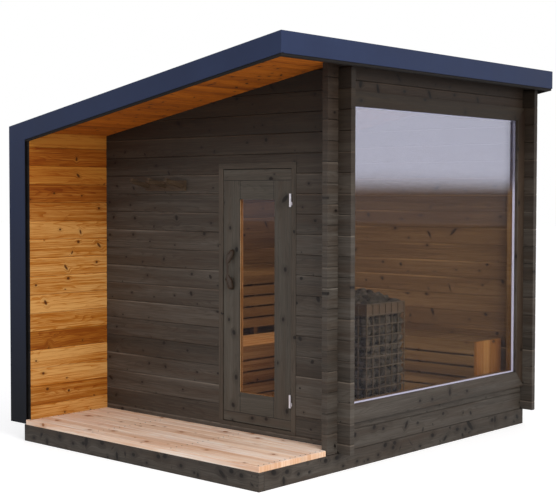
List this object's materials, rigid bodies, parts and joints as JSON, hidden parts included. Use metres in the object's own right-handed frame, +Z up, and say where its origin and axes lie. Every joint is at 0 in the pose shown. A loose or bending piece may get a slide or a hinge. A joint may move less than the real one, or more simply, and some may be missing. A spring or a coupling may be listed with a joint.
{
  "type": "outdoor sauna cabin",
  "caption": "Log-board sauna cabin with a single-slope metal-edged roof, covered terrace, hinged door with a narrow glass pane and a large side window.",
  "frame": {"origin": "at the ground, in the middle of the cabin's plan", "axes": "+Z up, +Y from the terrace to the back wall, +X along the door wall towards the window side"},
  "size_m": [2.681, 3.1796, 2.7671],
  "materials": {
    "dark_stain": "dark grey-brown translucent stain on planed spruce",
    "honey_stain": "honey-brown stain on planed pine",
    "deck_wood": "planed pale deck boards with rounded edges",
    "bench_wood": "planed untreated alder",
    "floor_wood": "planed spruce floor boards",
    "core_wood": "sawn timber and board",
    "black_stain": "near-black stained batten",
    "pull_wood": "peeled and dark-stained branch wood",
    "roof_steel": "anthracite coated folded steel sheet",
    "hinge_steel": "satin zinc-plated steel",
    "spacer_metal": "mill-finish aluminium",
    "pane_glass": "clear float glass",
    "cage_steel": "bare and heat-tinted steel wire",
    "heater_steel": "black heat-proof paint on steel",
    "heater_stone": "rough dark stones"
  },
  "bodies": {
    "cabin": {"base_frame": "dark_stain", "terrace_deck": "deck_wood", "cabin_floor": "floor_wood", "left_wall": "dark_stain", "back_wall": "dark_stain", "right_wall_below": "dark_stain", "right_wall_front": "dark_stain", "right_wall_rear": "dark_stain", "right_wall_over": "dark_stain", "front_wall_left": "dark_stain", "front_wall_right": "dark_stain", "front_wall_over": "dark_stain", "window_frame": "honey_stain", "window_glass": "pane_glass", "window_spacer": "spacer_metal", "window_casing": "dark_stain", "window_lining": "honey_stain", "door_frame": "dark_stain", "door_stops": "honey_stain", "hinge_fixed": "hinge_steel", "coat_rack": "dark_stain", "soffit_boards": "honey_stain", "roof_panel": "core_wood", "roof_sheet": "roof_steel", "fascia_front": "roof_steel", "fascia_right": "roof_steel", "fascia_back": "roof_steel", "fascia_left": "roof_steel", "fascia_battens": "black_stain", "leg_post": "black_stain", "leg_cladding": "roof_steel", "upper_bench": "bench_wood", "lower_bench": "bench_wood", "back_bench": "bench_wood", "heater_base": "heater_steel", "heater_cage": "cage_steel", "heater_core": "heater_steel", "heater_stones": "heater_stone"},
    "door": {"door_leaf": "dark_stain", "door_panels": "dark_stain", "door_glass": "pane_glass", "door_handle": "pull_wood", "hinge_moving": "hinge_steel"}
  },
  "joints": [
    {"name": "door_hinge", "type": "hinge", "parent": "cabin", "child": "door", "pos_m": [0.767, -0.85445, 0.4], "axis": [0, 0, 1], "range_deg": [0, 110]}
  ]
}
